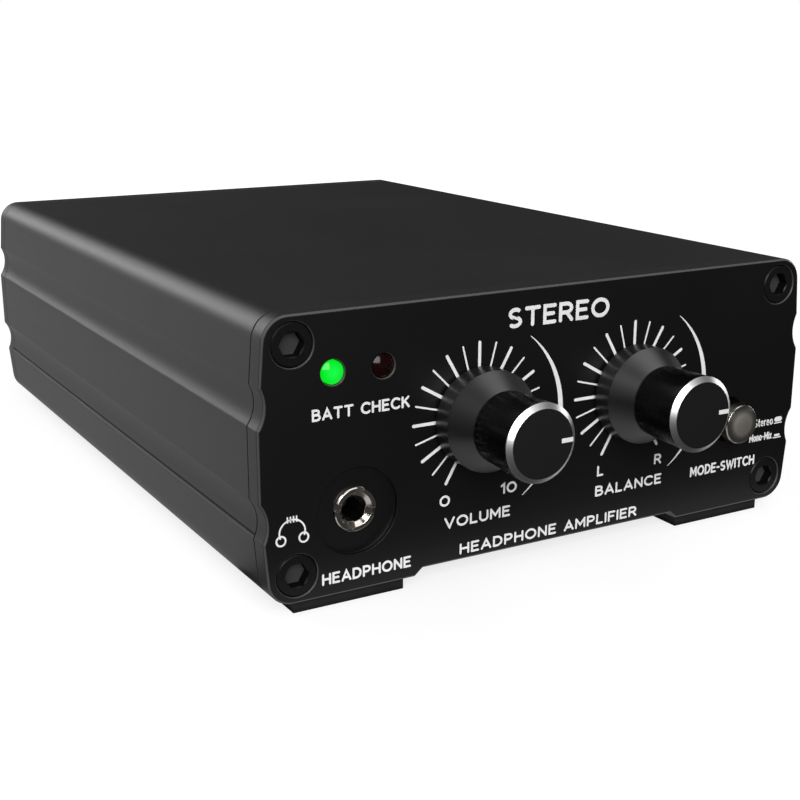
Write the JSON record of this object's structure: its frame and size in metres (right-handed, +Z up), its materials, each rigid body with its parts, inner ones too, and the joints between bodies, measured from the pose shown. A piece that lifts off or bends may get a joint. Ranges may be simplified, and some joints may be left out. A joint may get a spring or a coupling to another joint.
{
  "type": "headphone amplifier",
  "caption": "Compact desktop headphone monitor amplifier in a black extruded case, with turning volume and balance knobs, push mode switch and phone socket in front, inputs behind.",
  "frame": {"origin": "on the standing surface, under the middle of the whole object's box", "axes": "+Z up, -Y the way the front panel faces, +X to the right as seen from the front"},
  "size_m": [0.088, 0.1388, 0.0387],
  "materials": {
    "case_black": "black fine-textured powder coat, satin",
    "panel_black": "black anodised, fine matte, white printed legends",
    "screw_black": "black oxide, slightly oily",
    "foot_rubber": "dense black foam rubber",
    "knob_black": "black anodised, polished barrel with a bright cut rim",
    "steel": "plain turned steel",
    "pot_housing": "moulded phenolic with a steel cover",
    "lamp_green": "tinted clear epoxy, lit",
    "lamp_red": "tinted clear epoxy, unlit",
    "nickel": "polished nickel plate",
    "brass_contact": "tinned and gilt contacts",
    "black_plastic": "moulded black nylon, fine grain",
    "board_green": "solder-masked glass-fibre board",
    "capacitor_sleeve": "shrunk sleeve over an aluminium can",
    "battery_jacket": "printed steel jacket",
    "zinc_screw": "black zinc plate"
  },
  "bodies": {
    "root": {"upper_shell": "case_black", "lower_shell": "case_black", "front_panel": "panel_black", "rear_panel": "panel_black", "front_panel_screws": "screw_black", "rear_panel_screws": "screw_black", "left_foot_strip": "foot_rubber", "right_foot_strip": "foot_rubber", "volume_potentiometer": "pot_housing", "balance_potentiometer": "pot_housing", "pot_washers": "steel", "pot_nuts": "steel", "green_lamp": "lamp_green", "red_lamp": "lamp_red", "lamp_board": "board_green", "lamp_board_pins": "brass_contact", "headphone_jack_bush": "nickel", "headphone_jack_body": "black_plastic", "headphone_jack_contacts": "brass_contact", "mode_switch_housing": "black_plastic", "main_board": "board_green", "board_standoffs": "steel", "base_screws": "zinc_screw", "capacitors": "capacitor_sleeve", "amplifier_chips": "black_plastic", "battery": "battery_jacket", "battery_contacts": "brass_contact", "battery_holder": "black_plastic", "left_input_shell": "black_plastic", "right_input_shell": "black_plastic", "left_input_block": "black_plastic", "right_input_block": "black_plastic", "left_input_insert": "black_plastic", "right_input_insert": "black_plastic", "input_screws": "zinc_screw", "dc_inlet": "black_plastic", "dc_inlet_pin": "nickel", "power_rocker_frame": "black_plastic", "power_rocker_pins": "steel"},
    "volume_knob": {"volume_knob": "knob_black", "volume_shaft": "steel"},
    "balance_knob": {"balance_knob": "knob_black", "balance_shaft": "steel"},
    "mode_button": {"mode_button": "nickel", "mode_switch_stem": "black_plastic"},
    "power_rocker": {"power_rocker": "black_plastic"},
    "left_input_latch": {"left_input_latch": "black_plastic"},
    "right_input_latch": {"right_input_latch": "black_plastic"}
  },
  "joints": [
    {"name": "volume_turn", "type": "hinge", "parent": "root", "child": "volume_knob", "pos_m": [-0.0127, -0.055, 0.0225], "axis": [0, 1, 0], "range_deg": [-240, 60]},
    {"name": "balance_turn", "type": "hinge", "parent": "root", "child": "balance_knob", "pos_m": [0.0127, -0.055, 0.0225], "axis": [0, 1, 0], "range_deg": [-240, 60]},
    {"name": "mode_press", "type": "slide", "parent": "root", "child": "mode_button", "axis": [0, 1, 0], "range_m": [0, 0.0025], "stiffness_N_per_m": 400},
    {"name": "power_rock", "type": "hinge", "parent": "root", "child": "power_rocker", "pos_m": [0.0275, 0.0654, 0.0282], "axis": [0, 0, 1], "range_deg": [-18, 0]},
    {"name": "left_latch_press", "type": "slide", "parent": "root", "child": "left_input_latch", "axis": [0, -1, 0], "range_m": [0, 0.0015], "stiffness_N_per_m": 300},
    {"name": "right_latch_press", "type": "slide", "parent": "root", "child": "right_input_latch", "axis": [0, -1, 0], "range_m": [0, 0.0015], "stiffness_N_per_m": 300}
  ]
}
